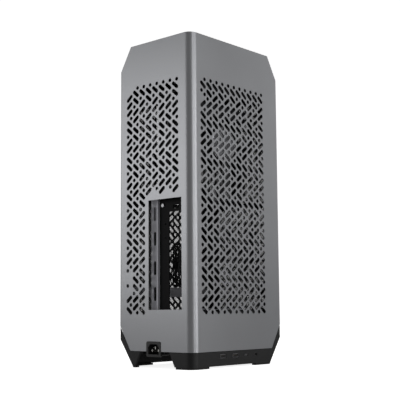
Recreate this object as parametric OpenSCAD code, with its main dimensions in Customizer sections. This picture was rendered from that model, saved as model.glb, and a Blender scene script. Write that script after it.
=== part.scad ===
// Tall small-form-factor desktop computer: two bent, perforated shells on a plinth, with the works inside.
// Origin at the middle of the footprint on the floor, front towards -Y, rear towards +Y, millimetres.

/* [Enclosure] */
// Width across the rear face
body_w = 160; // [158:1:166]
// Depth of the side face
body_d = 227; // [225:1:235]
// Height from the floor to the top edge of the shells
body_h = 537.5; // [536:0.5:545]
// Thickness of the bent sheet shells
sheet_t = 1.5; // [1.5:0.5:2]
// Outer radius of the vertical bend of each shell
bend_r = 14.5; // [12:0.5:16]
// Width of the slanted corner cut on each shell
cut_w = 24; // [20:1:26]
// Height of the slanted corner cut on each shell
cut_h = 40; // [36:1:42]

/* [Perforation] */
// Column pitch of the slots
hole_p = 15; // [15:0.1:15.2]
// Row pitch of the slots
hole_q = 12.5; // [12.4:0.1:12.6]
// Width of a slot and diameter of a dot
slot_w = 6.3; // [4:0.1:6.5]

/* [Rear window] */
// Width of the cable window in the rear face
window_w = 73; // [60:1:74]
// Height of the cable window
window_h = 177.7; // [150:0.1:178]

/* [Plinth] */
// Thickness of the rubber foot pads
foot_t = 3.2; // [2:0.2:4]
// Height of the lower edge of the shells above the floor
shell_z = 26.4; // [26:0.2:28]
// Thickness of the plinth walls
skirt_t = 4; // [3:0.5:5]
// Diameter of the power button
button_d = 12; // [10:1:14]

/* [Inside] */
// Side of the square circuit board
board_s = 170; // [165:1:170]
// Side of the radiator fans
fan_s = 120; // [118:1:120]
// Thickness of the radiator fans
fan_t = 25; // [20:1:25]
// Height of the power supply
psu_h = 63.5; // [60:0.5:63.5]

/* [Hidden] */
$fn = 48;

half_w = body_w / 2;
half_d = body_d / 2;
gap = 0.3;
shell_h = body_h - shell_z;
inner_x = half_w - sheet_t;
inner_y = half_d - sheet_t;

// slots lie along the diagonal of the lattice cell, so the webs between them are even
slot_tilt = atan(hole_q / hole_p);
slot_run = 9.9;
row_zero_z = shell_z + 377.5;
rear_first_u = -half_w + 21.25;
side_first_u = -half_d + 30.3;

// the plinth is cut back a little further than the shells at the two seam corners
plinth_cut_w = 29;
plinth_cut_h = 41.8;
deck_z = 22;
deck_t = 4;
deck_top = deck_z + deck_t;

window_u = -14.2;
window_z = 92.6;
arch_top = 64.5;
arch_foot = 88.5;
arch_x = 1;
inlet_x = 3;
inlet_z = 30;
inlet_w = 32;
inlet_h = 24;

post_s = 9;
post_t = 1.5;
shelf_z = 273.5;
shelf_t = 2.5;
plate_y = half_d - 14;
plate_t = 1.5;
plate_edge_x = 2;
brace_screw_x = [-40, -8];
plate_stud_x = -6;
plate_stud_z = 261.5;
rail_slot_z = [118, 160, 208, 249];
aperture_x = -18.5;
aperture_w = 44.5;
aperture_z = 78;
aperture_h = 172.5;

board_x = -8;
board_t = 1.6;
board_z = 280;
tray_x = -3;
fan_z = 454.5;
radiator_t = 27;
radiator_l = 155;
radiator_z = fan_z + fan_t;
upper_fan_z = radiator_z + radiator_t;
cover_z = body_h - 5.5;
cover_t = 1.5;

psu_w = 125;
psu_d = 100;
psu_y = -98;
psu_z = deck_top + 2;

ram_z = [422, 434];
ram_y = -8;
ram_l = 134;
board_plug_z = board_z + 50;
cpu_y = 10;
cpu_z = 368;
pump_d = 62;
tube_d = 11;
tube_x = [-30, -46];
tube_end_z = [384, 352];
tube_y = 72;
tube_bend = 22;

gpu_x = 14;
gpu_z = 286;
gpu_l = 156;
card_plug_z = gpu_z + 95;
gpu_y = -60;
gpu_w = 110;
gpu_fan_d = 76;
gpu_fan_z = [gpu_z + 40, gpu_z + 119];
gpu_fan_y = gpu_y + 56;

button_x = 0;
port_z = 18.2;
port_usb = [half_d - 74, half_d - 105.6];
port_c = half_d - 133;
port_jack = half_d - 159;

// ---------- shared shapes ----------

// the sharp outside of a round corner of radius r, at the corner (-, +)
module corner_spandrel(r) {
  difference() {
    translate([-1, -r]) square([r + 1, r + 1]);
    translate([r, -r]) circle(r = r);
  }
}

// plan of the enclosure, drawn in by inset: two round bend corners and two square seam corners
module plan(inset = 0) {
  difference() {
    square([body_w - 2 * inset, body_d - 2 * inset], center = true);
    for (turn = [0, 180]) rotate(turn)
      translate([-half_w + inset, half_d - inset]) corner_spandrel(bend_r - inset);
  }
}

// what lies outside the slanted cut at both seam corners; up is 1 at the foot and -1 at the top
module seam_wedges(run, rise, z, up) {
  over = 12;
  for (turn = [0, 180]) rotate(turn)
    translate([half_w, half_d, z]) rotate(45) rotate([90, 0, 0])
      linear_extrude(height = 4 * run, center = true)
        polygon([
          [-run / sqrt(2) * (1 + over / rise), -over * up],
          [over, -over * up],
          [over, rise * (1 + sqrt(2) * over / run) * up]]);
}

// turns a drawing on the XY plane to stand on a side face: 0 front, -90 left, 180 rear, 90 right
module on_face(turn, out, thick) {
  rotate(turn) rotate([90, 0, 0]) translate([0, 0, out - thick])
    linear_extrude(height = thick) children();
}

module rounded_rect(size, r) {
  square([size[0] - 2 * r, size[1]], center = true);
  square([size[0], size[1] - 2 * r], center = true);
  for (sx = [-1, 1], sy = [-1, 1])
    translate([sx * (size[0] / 2 - r), sy * (size[1] / 2 - r)]) circle(r = r);
}

// mirrors a piece drawn towards +X and +Y so that it runs inwards from the corner (sx, sy)
module inwards(sx, sy) {
  mirror([sx > 0 ? 1 : 0, 0, 0]) mirror([0, sy > 0 ? 1 : 0, 0]) children();
}

module round_box(size, r, z = 0) {
  translate([0, 0, z]) linear_extrude(height = size[2]) rounded_rect([size[0], size[1]], r);
}

// a box by its low corner and its size
module block(low, size) {
  translate(low) cube(size);
}

// a rod between two heights
module rod(x, y, z, h, d) {
  translate([x, y, z]) cylinder(d = d, h = h);
}

// ---------- perforation ----------

module slot(col, row, lean) {
  translate([col * hole_p, -row * hole_q]) rotate(lean * slot_tilt) {
    square([slot_run, slot_w], center = true);
    for (end = [-1, 1]) translate([end * slot_run / 2, 0]) circle(d = slot_w);
  }
}

module dot(col, row) {
  translate([col * hole_p, -row * hole_q]) circle(d = slot_w);
}

// one column of the basket weave: pairs of slots that lean each way, with a dot between the pairs;
// the rows in gaps stay solid
module weave_column(col, top, foot, gaps) {
  phase = col % 2;
  function is_open(row) = row >= top && row <= foot && len(search(row, gaps)) == 0;
  for (k = [-2 : 5]) let (start = phase + 5 * k) {
    for (row = [start, start + 1]) if (is_open(row)) slot(col, row, -1);
    for (row = [start + 2.5, start + 3.5]) if (is_open(row)) slot(col, row, 1);
    if (is_open(start + 1.75)) dot(col - 0.25, start + 1.75);
    if (is_open(start + 4.25)) dot(col + 0.25, start + 4.25);
  }
  if (len(search(top, gaps)) == 0) dot(col + 0.25, top - 0.75);
}

// the columns of one face, from the first height row to each column's last row; the first column
// skips the rows in gaps, where the children may put other holes
module weave(first_u, feet, gaps) {
  translate([first_u, row_zero_z]) {
    for (col = [0 : len(feet) - 1]) weave_column(col, -4, feet[col], col == 0 ? gaps : []);
    children();
  }
}

// ---------- enclosure ----------

// flat wing between the bend and its free end, seen from outside, with both corner cuts
module wing_outline(near, far, face_half) {
  lean = (abs(far) - (face_half - cut_w)) / cut_w * cut_h;
  side = sign(far);
  polygon([[near, shell_z], [side * (face_half - cut_w), shell_z], [far, shell_z + lean],
    [far, body_h - lean], [side * (face_half - cut_w), body_h], [near, body_h]]);
}

// the bend that joins the wings at the corner (-, +)
module shell_bend() {
  translate([-half_w + bend_r, half_d - bend_r, shell_z]) rotate(90)
    rotate_extrude(angle = 90) translate([bend_r - sheet_t, 0]) square([sheet_t, shell_h]);
}

// one bent sheet: the two flat wings meet the bend at hairline joints
module shell(feet) {
  hair = 0.02;
  shell_bend();
  on_face(180, half_d, sheet_t) difference() {
    wing_outline(half_w - bend_r - hair, -inner_x + gap, half_w);
    weave(rear_first_u, feet, [-4, -3.25, 20, 21, 22.5]) {
      slot(0, -3.5, 1);
      dot(-0.25, 19.75);
    }
    children();
  }
  on_face(-90, half_w, sheet_t) difference() {
    wing_outline(-half_d + bend_r + hair, half_d, half_d);
    weave(side_first_u, [for (col = [0 : 10]) 25.3], [-2.5]) dot(0.25, -2.75);
  }
}

module rear_shell() color("#9fa1a6")
  shell([25.3, 25.3, 25.3, 9.75, 9.75, 9.75, 9.75, 9.75]) {
    translate([window_u, window_z]) square([window_w, window_h]);
    translate([-inlet_x, inlet_z]) rounded_rect([inlet_w + 1, inlet_h + 1], 3);
    translate([-inlet_x - inlet_w / 2 - 0.5, shell_z - 1]) square([inlet_w + 1, inlet_z - shell_z]);
  }

module front_shell() color("#9fa1a6")
  rotate(180) shell([for (col = [0 : 7]) 25.3]);

// vented lid that sits between the shells, with a slanted facet at each seam corner
module top_cover() color("#1c1d1f") {
  skirt = 12;
  facet = 3;
  top = cover_z + cover_t + 2;
  difference() {
    union() {
      difference() {
        translate([0, 0, cover_z - skirt]) linear_extrude(height = skirt + cover_t) plan(sheet_t + 0.5);
        translate([0, 0, cover_z - skirt - 1]) linear_extrude(height = skirt + 1) plan(sheet_t + 2.5);
      }
      intersection() {
        translate([0, 0, cover_z - cut_h + 8]) linear_extrude(height = cut_h) plan(sheet_t + 0.5);
        seam_wedges(cut_w + facet, cut_h + facet, top, -1);
      }
    }
    translate([0, 0, cover_z + cover_t]) linear_extrude(height = 10) plan(-1);
    seam_wedges(cut_w, cut_h, top, -1);
    for (row = [-9 : 9], col = [-8 : 8]) let (shift = abs(row) % 2 * 4)
      if (norm([col * 8 + shift, row * 7]) < 64)
        rod(col * 8 + shift, row * 7, cover_z - 1, cover_t + 2, 5);
  }
}

// ---------- plinth ----------

// opening in the rear skirt under the inlet: a trapezoid that runs up behind the shell
module arch() {
  translate([arch_x, half_d + 5, 0]) rotate([90, 0, 0]) linear_extrude(height = 15)
    polygon([[-arch_foot / 2, foot_t - 1], [arch_foot / 2, foot_t - 1], [arch_top / 2, shell_z],
      [arch_top / 2, deck_top + 12], [-arch_top / 2, deck_top + 12], [-arch_top / 2, shell_z]]);
}

module base_plinth() color("#2a2a2c") difference() {
  union() {
    translate([0, 0, foot_t]) linear_extrude(height = shell_z - 0.4 - foot_t) plan();
    translate([0, 0, deck_top - 1]) linear_extrude(height = 9) difference() {
      plan(sheet_t + 0.5);
      plan(sheet_t + 3);
    }
    intersection() {
      translate([0, 0, deck_top - 1]) linear_extrude(height = cut_h + 2) plan(0.2);
      seam_wedges(cut_w - 0.6, cut_h - 1, shell_z, 1);
    }
    for (turn = [0, 180]) rotate(turn)
      block([inner_x - 13.5, inner_y - 13.5, deck_top - 1], [13, 13, 23]);
  }
  difference() {
    translate([0, 0, foot_t - 1]) linear_extrude(height = deck_z - foot_t + 1) plan(skirt_t);
    seam_wedges(plinth_cut_w + 8, plinth_cut_h + 12, foot_t, 1);
  }
  seam_wedges(plinth_cut_w, plinth_cut_h, foot_t, 1);
  arch();
  block([inlet_x - inlet_w / 2 - 0.5, half_d - 30, deck_z - 1], [inlet_w + 1, 31, 14]);
  for (y = port_usb) block([-half_w - 1, y - 7, port_z - 3.3], [skirt_t + 2, 14, 6.6]);
  block([-half_w - 1, port_c - 4.7, port_z - 1.8], [skirt_t + 2, 9.4, 3.6]);
  translate([-half_w - 1, port_jack, port_z]) rotate([0, 90, 0]) cylinder(d = 6.2, h = skirt_t + 2);
  translate([button_x, -half_d - 1, port_z - 3.5]) rotate([-90, 0, 0])
    cylinder(d = button_d + 0.6, h = skirt_t + 2);
  for (x = [-1, 1]) rod(x * 40, -50, deck_z - 1, deck_t + 2, 24);
}

// rubber strips under the skirt at the four corners
module foot_pads() color("#151515") {
  bands = [[-1, 1, 44.5, 72.5], [1, 1, 44.5, 45.5], [1, -1, 44.5, 72.5], [-1, -1, 44.5, 45.5]];
  difference() {
    linear_extrude(height = foot_t) intersection() {
      difference() {
        plan(0.8);
        plan(9);
      }
      union() for (b = bands) {
        translate([b[0] * (b[2] + 50), b[1] * (b[3] + 50)]) square(100, center = true);
      }
    }
    seam_wedges(plinth_cut_w + 2, plinth_cut_h, 0, 1);
  }
}

// ---------- frame ----------

// angle post with its outer corner towards (sx, sy)
module post(sx, sy, low, high) {
  x = sx * (inner_x - 1.5);
  y = sy * (inner_y - 1.5);
  translate([x, y, low]) inwards(sx, sy) {
    cube([post_s, post_t, high - low]);
    cube([post_t, post_s, high - low]);
  }
}

module bend_post(sx, sy) {
  low = deck_top + 8.2;
  length = cover_z - 14 - low;
  translate([sx * (half_w - 6.5), sy * (half_d - 6.5), low]) inwards(sx, sy) {
    cube([post_s, post_t, length]);
    cube([post_t, post_s, length]);
  }
}

module rear_bend_post() color("#232426") bend_post(-1, 1);
module front_bend_post() color("#232426") bend_post(1, -1);
module rear_seam_post() color("#232426") post(1, 1, deck_top + 29, body_h - cut_h - 6);
module front_seam_post() color("#232426") post(-1, -1, deck_top + 29, body_h - cut_h - 6);

// shelf over the cable bay, with openings for the two chambers above it
module shelf_plate() color("#202124") difference() {
  block([-inner_x + 2, -inner_y + 4, shelf_z], [2 * inner_x - 4, 2 * inner_y - 16, shelf_t]);
  block([board_x - 56, -70, shelf_z - 1], [54.4, 148, shelf_t + 2]);
  block([gpu_x - 4, gpu_y - 4, shelf_z - 1], [44, gpu_w + 20, shelf_t + 2]);
  for (sx = [-1, 1], y = [-inner_y + 4, inner_y - 12])
    translate([sx * (inner_x - 2), y, shelf_z]) cube([30, 30, 3 * shelf_t], center = true);
}

// tray that carries the fans and the radiator
module fan_tray() color("#202124") difference() {
  union() {
    block([-inner_x + 2, -95, fan_z - 2], [2 * inner_x - 4, 178, 2]);
    for (x = [-inner_x + 2, inner_x - 3.5]) block([x, -95, fan_z - 2], [1.5, 178, 14]);
  }
  rod(0, 0, fan_z - 3, 4, fan_s - 6);
  for (x = tube_x) rod(x, tube_y, fan_z - 3, 4, tube_d + 2);
  for (sx = [-1, 1], sy = [-1, 1]) rod(sx * 52.5, sy * 52.5, fan_z - 3, 4, 4.4);
  block([-inner_x + 1, tube_y + 8, fan_z - 3], [12, 12, 20]);
}

// black plate a little way behind the cable window
module chassis_plate() color("#17181a") difference() {
  block([-inner_x + 12, plate_y - plate_t, 46], [plate_edge_x + inner_x - 12 + 16, plate_t, shelf_z - 46]);
  block([aperture_x - aperture_w, plate_y - plate_t - 1, aperture_z], [aperture_w, plate_t + 2, aperture_h]);
  translate([plate_stud_x, plate_y + 1, plate_stud_z]) rotate([90, 0, 0]) cylinder(d = 3.4, h = plate_t + 2);
  translate([plate_edge_x + 10, plate_y + 1, rail_slot_z[3]]) rotate([90, 0, 0])
    linear_extrude(height = plate_t + 2) rounded_rect([7, 24.5], 3.3);
  for (z = [208, 231]) translate([-11, plate_y + 1, z]) rotate([90, 0, 0]) cylinder(d = 3.5, h = plate_t + 2);
  for (x = brace_screw_x) translate([x, plate_y + 1, 59]) rotate([90, 0, 0]) cylinder(d = 3.4, h = 4);
  translate([-34, plate_y + 1, 258.2]) rotate([90, 0, 0]) linear_extrude(height = plate_t + 2)
    rounded_rect([14, 6], 2.8);
}

// satin steel rail beside the plate, with a folded lip and four obround holes
module slot_rail() color("#8c8d92") {
  difference() {
    union() {
      block([plate_edge_x, plate_y + 0.1, 46], [18, 1.2, shelf_z - 46]);
      block([plate_edge_x, plate_y + 0.1, 46], [1.2, 5, shelf_z - 46]);
      block([plate_edge_x + 16.8, plate_y - 12, 46], [1.2, 12.2, shelf_z - 46]);
    }
    for (z = rail_slot_z) translate([plate_edge_x + 10, plate_y + 2, z]) rotate([90, 0, 0])
      linear_extrude(height = 3) rounded_rect([5.6, 23], 2.7);
  }
}

// bar behind the plate, and a second one along the far side of the cable bay
module cross_brace() color("#3c3d40") difference() {
  union() {
    block([-inner_x + 13, plate_y - 6, 54], [plate_edge_x + inner_x + 3.5, 4.3, 10.5]);
    block([inner_x - 12, -inner_y + 13.7, 114.5], [2, 2 * inner_y - 24.4, 16.5]);
  }
  for (x = brace_screw_x) translate([x, plate_y, 59]) rotate([90, 0, 0]) cylinder(d = 3, h = 5);
}

// fine dust screens behind the front face and behind the rear half of the far side
module front_filter() color("#111214") {
  block([-inner_x + 14, -inner_y + 2.6, deck_top + 12], [2 * inner_x - 21.6, 1.2, body_h - cut_h - 70]);
  block([inner_x - 1.8, 34, deck_top + 34], [1.2, 65, body_h - cut_h - 78]);
}

// ---------- mains inlet ----------

module inlet_housing() color("#1a1a1b") difference() {
  union() {
    on_face(180, half_d + 0.4, 4) translate([-inlet_x, inlet_z]) rounded_rect([inlet_w, inlet_h], 2.6);
    on_face(180, half_d - 3.6, 19) translate([-inlet_x, inlet_z]) rounded_rect([28, 20], 2);
  }
  on_face(180, half_d + 2, 17.4) translate([-inlet_x, inlet_z])
    polygon([[-12, -8.2], [12, -8.2], [12, 3.4], [7.4, 8.2], [-7.4, 8.2], [-12, 3.4]]);
}

module inlet_pins() color("#c9c9c6")
  for (pin = [[-7, -2], [0, 2.2], [7, -2]])
    block([inlet_x + pin[0] - 1, half_d - 15.4, inlet_z + pin[1] - 2], [2, 11.4, 4]);

// short mains lead from the back of the inlet to the supply
module inlet_lead() color("#121212") {
  y = half_d - 22.8;
  translate([inlet_x, y, inlet_z + 5]) rotate([90, 0, 0]) cylinder(d = 7, h = y - 22);
  translate([inlet_x, 22, inlet_z + 17]) rotate([90, 0, -90]) rotate(180)
    rotate_extrude(angle = 90) translate([12, 0]) circle(d = 7);
}

// ---------- power supply ----------

module psu_case() color("#1b1c1e") {
  difference() {
    block([-psu_w / 2, psu_y, psu_z], [psu_w, psu_d, psu_h]);
    translate([0, psu_y + psu_d / 2, psu_z + psu_h - 22]) cylinder(d = 92, h = 23);
    block([-psu_w / 2 + 9, psu_y + psu_d - 3, psu_z + 36], [15.4, 4, 11.4]);
    for (i = [0 : 9]) block([-psu_w / 2 - 1, psu_y + 10 + i * 8, psu_z + 12], [3, 4, 40]);
  }
}

module psu_grille() color("#8d8e90") {
  z = psu_z + psu_h + 0.2;
  translate([0, psu_y + psu_d / 2, z]) {
    for (r = [14 : 8 : 46]) difference() {
      cylinder(r = r + 0.8, h = 1.2);
      translate([0, 0, -1]) cylinder(r = r - 0.8, h = 4);
    }
    for (turn = [0 : 90 : 270]) rotate(turn + 45) block([13, -0.9, 1.2], [43, 1.8, 1.2]);
  }
}

// fan rotor: a hub and a ring of curved, pitched blades about +Z
module rotor(d, hub, h, blades, tilt = 32) {
  cylinder(d = hub, h = h);
  for (k = [0 : blades - 1]) intersection() {
    rotate(k * 360 / blades) translate([hub / 2 - 1, 0, h / 2]) rotate([tilt, 0, 0]) rotate([90, 0, 90])
      linear_extrude(height = d) difference() {
        translate([0, -h]) circle(r = h + 2);
        translate([0, -h]) circle(r = h + 0.6);
        translate([-3 * h, -3 * h]) square([6 * h, 2.35 * h]);
      }
    cylinder(d = d, h = h);
  }
}

module psu_fan_rotor() color("#26272a")
  translate([0, psu_y + psu_d / 2, psu_z + psu_h - 20]) rotor(88, 34, 18, 9);

// on-off rocker, which tilts about its long middle line
module psu_rocker() color("#0e0e0e")
  translate([-psu_w / 2 + 16.7, psu_y + psu_d - 1.2, psu_z + 41.7]) rotate([0, 90, 0])
    union() {
      linear_extrude(height = 14, center = true)
        polygon([[-4.9, -0.4], [4.9, -0.4], [4.9, 2.4], [0, 1.6], [-4.9, 2.4]]);
      cylinder(d = 2, h = 15, center = true);
    }

// ---------- board chamber ----------

module board_tray() color("#202124") difference() {
  block([tray_x, -86.5, shelf_z + shelf_t], [1.5, 169.5, fan_z - 2 - shelf_z - shelf_t]);
  translate([tray_x - 1, cpu_y, cpu_z]) rotate([0, 90, 0]) linear_extrude(height = 4)
    rounded_rect([80, 80], 8);
}

module motherboard() color("#14181a") difference() {
  block([board_x - board_t, -board_s / 2, board_z], [board_t, board_s, board_s]);
  for (y = [-75, 75], z = [8, 162]) translate([board_x - 3, y, board_z + z]) rotate([0, 90, 0])
    cylinder(d = 4, h = 5);
}

module board_standoffs() color("#b89a4e")
  for (y = [-75, 75], z = [8, 162]) translate([board_x, y, board_z + z]) rotate([0, 90, 0])
    cylinder(d = 6, h = tray_x - board_x, $fn = 6);

// sockets on the lower edge of the board, facing down into the cable bay
module io_block() color("#8a8b8d") difference() {
  union() {
    for (port = [[-34, 16, 28], [-12, 16, 16], [8, 14, 30], [26, 14, 16], [44, 14, 20]])
      block([board_x - board_t - port[2], port[0], board_z - 3], [port[2], port[1], 22]);
  }
  for (port = [[-34, 16, 28], [8, 14, 30], [44, 14, 20]])
    block([board_x - board_t - port[2] + 3, port[0] + 1.5, board_z - 4], [port[2] - 6, port[1] - 3, 12]);
}

module vrm_heatsink() color("#55575b")
  for (i = [0 : 7]) {
    block([board_x - board_t - 26, -26 + i * 10, board_z + 24], [26, 5.4, 20]);
    if (i < 7) block([board_x - board_t - 8, -21 + i * 10, board_z + 24], [8, 5, 20]);
  }

module ram_slots() color("#101112")
  for (z = ram_z) difference() {
    block([board_x - board_t - 7, ram_y - ram_l / 2 - 4, z - 3.2], [7, ram_l + 8, 6.4]);
    block([board_x - board_t - 8, ram_y - ram_l / 2, z - 1], [5, ram_l, 2]);
    block([board_x - board_t - 8, ram_y + ram_l / 2 - 1, z - 1.6], [6.2, 6, 3.2]);
  }

// memory stick with its heat spreader
module ram_module(z) {
  block([board_x - board_t - 34, ram_y - ram_l / 2 + 0.5, z - 0.7], [31, ram_l - 1, 1.4]);
  for (side = [-1, 1])
    block([board_x - board_t - 33.4, ram_y - ram_l / 2 + 3, z + side * 2.2 - 1.5], [24, ram_l - 6, 3]);
}

module ram_module_a() color("#3a3b3f") ram_module(ram_z[0]);
module ram_module_b() color("#3a3b3f") ram_module(ram_z[1]);

// end lever of a memory slot, which swings outwards about its pin
module ram_latch(z) {
  x = board_x - board_t - 3.4;
  y = ram_y + ram_l / 2 + 1.6;
  translate([x, y, z]) {
    cylinder(d = 2.8, h = 2.6, center = true);
    block([-14, -0.9, -1.3], [14, 1.8, 2.6]);
    block([-14, -1.2, -1.3], [2.4, 4.6, 2.6]);
  }
}

module ram_latch_a() color("#d8d8d4") ram_latch(ram_z[0]);
module ram_latch_b() color("#d8d8d4") ram_latch(ram_z[1]);

module ssd_cooler() color("#6d6f73")
  block([board_x - board_t - 7, -62, board_z + 18], [7, 24, 78]);

module power_plug() color("#0f0f10")
  block([board_x - board_t - 30, 66, board_plug_z], [30, 9.6, 42]);

module card_slot() color("#101112") difference() {
  block([board_x - board_t - 11.2, -82.5, board_z + 14], [11.2, 7.6, 90]);
  block([board_x - board_t - 12, -79.7, board_z + 16], [9, 2, 86]);
}

module cpu_package() color("#b4b5b7")
  block([board_x - board_t - 7, cpu_y - 19, cpu_z - 19], [7, 38, 38]);

// pump with its cold plate and two barbs
module pump_block() color("#191a1c") {
  x = board_x - board_t - 7.1;
  translate([x, cpu_y, cpu_z]) rotate([0, -90, 0]) cylinder(d = pump_d, h = 44);
  for (i = [0, 1]) translate([tube_x[i], cpu_y + 26, tube_end_z[i]]) rotate([-90, 0, 0])
    cylinder(d = tube_d + 2, h = 12);
  for (y = [-1, 1], z = [-1, 1])
    block([x - 6, cpu_y + y * 34 - 6, cpu_z + z * 34 - 6], [6, 12, 12]);
  block([x - 5, cpu_y - 34, cpu_z - 34], [5, 68, 68]);
}

module coolant_tubes() color("#101010")
  for (i = [0, 1]) {
    z = tube_end_z[i] + tube_bend;
    rod(tube_x[i], tube_y, z, radiator_z - z, tube_d);
    translate([tube_x[i], tube_y - tube_bend, z]) rotate([90, 0, 90]) rotate(-90)
      rotate_extrude(angle = 90) translate([tube_bend, 0]) circle(d = tube_d);
    translate([tube_x[i], cpu_y + 38, tube_end_z[i]]) rotate([-90, 0, 0])
      cylinder(d = tube_d, h = tube_y - tube_bend - cpu_y - 38);
  }

module radiator() color("#17181a") {
  difference() {
    block([-fan_s / 2, -radiator_l / 2, radiator_z], [fan_s, radiator_l, radiator_t]);
    for (side = [-1, 1], i = [0 : 9])
      translate([0, 0, radiator_z + (side > 0 ? radiator_t - 1.5 : -1)])
        block([-54 + i * 11, -56, 0], [8.6, 112, 2.5]);
  }
}

module fan_frame(z) difference() {
  round_box([fan_s, fan_s, fan_t], 4, z);
  rod(0, 0, z - 1, fan_t + 2, fan_s - 4);
  for (sx = [-1, 1], sy = [-1, 1]) rod(sx * 52.5, sy * 52.5, z - 1, fan_t + 2, 4.4);
}

// the motor mount in the middle of a fan, held by four struts at the height z
module fan_struts(z) {
  rod(0, 0, z, 2.5, 40);
  for (turn = [45 : 90 : 315]) rotate(turn) block([19, -2, z], [fan_s / 2 - 20, 4, 2.5]);
}

module lower_fan_frame() color("#18191b") {
  fan_frame(fan_z);
  fan_struts(fan_z + fan_t - 2.5);
}

module upper_fan_frame() color("#18191b") {
  fan_frame(upper_fan_z);
  fan_struts(upper_fan_z);
}

module lower_fan_rotor() color("#2a2b2e") translate([0, 0, fan_z + 1.5]) rotor(fan_s - 7, 42, 20, 9);
module upper_fan_rotor() color("#2a2b2e") translate([0, 0, upper_fan_z + 3.5]) rotor(fan_s - 7, 42, 20, 9);

// ---------- graphics card ----------

module riser_ribbon() color("#1d1e20") {
  y = -board_s / 2 - 5;
  block([board_x - board_t - 14, y, board_z + 20], [gpu_x + 8 - board_x + board_t + 8, 1.2, 78]);
  block([board_x - board_t - 14, y + 1.2, board_z + 20], [1.2, 11, 78]);
  block([gpu_x + 0.8, y + 1.2, board_z + 20], [1.2, 5, 78]);
}

module riser_socket() color("#101112") difference() {
  block([gpu_x - 3, -board_s / 2 + 1.4, gpu_z + 14], [7.6, 13.4, 90]);
  block([gpu_x - 0.2, -board_s / 2 + 9, gpu_z + 15], [2, 8, 88]);
}

module gpu_board() color("#15191b") union() {
  block([gpu_x, gpu_y, gpu_z], [1.6, gpu_w, gpu_l]);
  block([gpu_x, gpu_y - 15, gpu_z + 16], [1.6, 15.5, 86]);
}

module gpu_fins() color("#9a9b9e") {
  block([gpu_x + 1.7, gpu_y + 4, gpu_z + 6], [4, gpu_w - 8, gpu_l - 12]);
  for (i = [0 : 23]) block([gpu_x + 5.6, gpu_y + 4, gpu_z + 8 + i * 6], [14, gpu_w - 8, 1.6]);
}

module gpu_shroud() color("#1e1f22") difference() {
  block([gpu_x + 20.4, gpu_y, gpu_z], [17, gpu_w, gpu_l]);
  for (z = gpu_fan_z) translate([gpu_x + 20, gpu_fan_y, z]) rotate([0, 90, 0])
    cylinder(d = gpu_fan_d, h = 18);
}

module gpu_rotor(z) translate([gpu_x + 22, gpu_fan_y, z]) rotate([0, 90, 0]) rotor(gpu_fan_d - 3, 30, 12, 11);
module gpu_rotor_low() color("#2a2b2e") gpu_rotor(gpu_fan_z[0]);
module gpu_rotor_high() color("#2a2b2e") gpu_rotor(gpu_fan_z[1]);

// slot bracket at the lower end of the card, with its picture sockets
module gpu_bracket() color("#9c9da0") {
  difference() {
    block([gpu_x - 3, gpu_y + 1, gpu_z - 1.3], [40, gpu_w - 2, 1]);
    for (i = [0 : 2]) block([gpu_x + 5, gpu_y + 12 + i * 24, gpu_z - 2], [6, 17, 3]);
    for (i = [0 : 6]) block([gpu_x + 17, gpu_y + 10 + i * 13, gpu_z - 2], [16, 7, 3]);
  }
  for (i = [0 : 2]) difference() {
    block([gpu_x + 5.2, gpu_y + 12.2 + i * 24, gpu_z - 2.6], [5.6, 16.6, 2.3]);
    block([gpu_x + 6.2, gpu_y + 13.2 + i * 24, gpu_z - 3], [3.6, 14.6, 1.6]);
  }
}

// ---------- cables ----------

// lead that leaves the supply towards +Y at the height low, turns up at y and rises to high
module lead(x, y, low, high) {
  turn = 9;
  d = 4.2;
  start = psu_y + psu_d + 0.1;
  translate([x, start, low]) rotate([-90, 0, 0]) cylinder(d = d, h = y - turn - start);
  translate([x, y - turn, low + turn]) rotate([90, 0, 90]) rotate(-90)
    rotate_extrude(angle = 90) translate([turn, 0]) circle(d = d);
  rod(x, y, low + turn, high - low - turn, d);
}

// leads that rise from the supply to the board and to the graphics card, with the card's plug
module power_cables() color("#111111") {
  for (i = [0 : 2]) {
    lead(-37 + i * 4.6, 68.4, 53.6, board_plug_z);
    lead(-37 + i * 4.6, 73, 49, board_plug_z);
    lead(23 + i * 4.6, gpu_y + gpu_w + 7, 50, card_plug_z);
  }
  block([20, gpu_y + gpu_w + 0.3, card_plug_z], [16, 12, 12]);
}

// spare lead folded into a hank and tied, hanging in the bay
module cable_hank() color("#161617") {
  run = 52;
  for (i = [0 : 3]) translate([6, 46 + i * 5, 167]) rotate([90, 0, 0]) {
    for (side = [-1, 1]) {
      translate([side * 11, -run / 2, 0]) rotate([-90, 0, 0]) cylinder(d = 4.6, h = run);
      translate([0, side * run / 2, 0]) rotate(side > 0 ? 0 : 180)
        rotate_extrude(angle = 180) translate([11, 0]) circle(d = 4.6);
    }
  }
  block([-8, 42.5, 163], [27.5, 22, 8]);
}

// ---------- sockets and button on the plinth ----------

module usb_sockets() color("#9b9c9e")
  for (y = port_usb) difference() {
    block([-half_w + 0.6, y - 6.6, port_z - 2.9], [14, 13.2, 5.8]);
    block([-half_w, y - 6.1, port_z - 2.4], [10, 12.2, 2.8]);
    block([-half_w, y - 6.1, port_z + 0.4], [3, 12.2, 2]);
  }

module usb_c_socket() color("#7d7e80") difference() {
  on_face(-90, half_w - 0.8, 8) translate([-port_c, port_z]) rounded_rect([8.8, 3], 1.45);
  on_face(-90, half_w, 7) translate([-port_c, port_z]) difference() {
    rounded_rect([8.2, 2.4], 1.15);
    square([6.4, 0.7], center = true);
  }
}

module audio_jack() color("#0d0d0d") translate([-half_w + 0.5, port_jack, port_z]) rotate([0, 90, 0])
  difference() {
    cylinder(d = 5.9, h = 13);
    translate([0, 0, -1]) cylinder(d = 3.6, h = 12);
  }

module port_board() color("#14261c")
  block([-half_w + 6, port_jack - 8, port_z - 4.8], [22, port_usb[0] - port_jack + 18, 1.6]);

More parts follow.
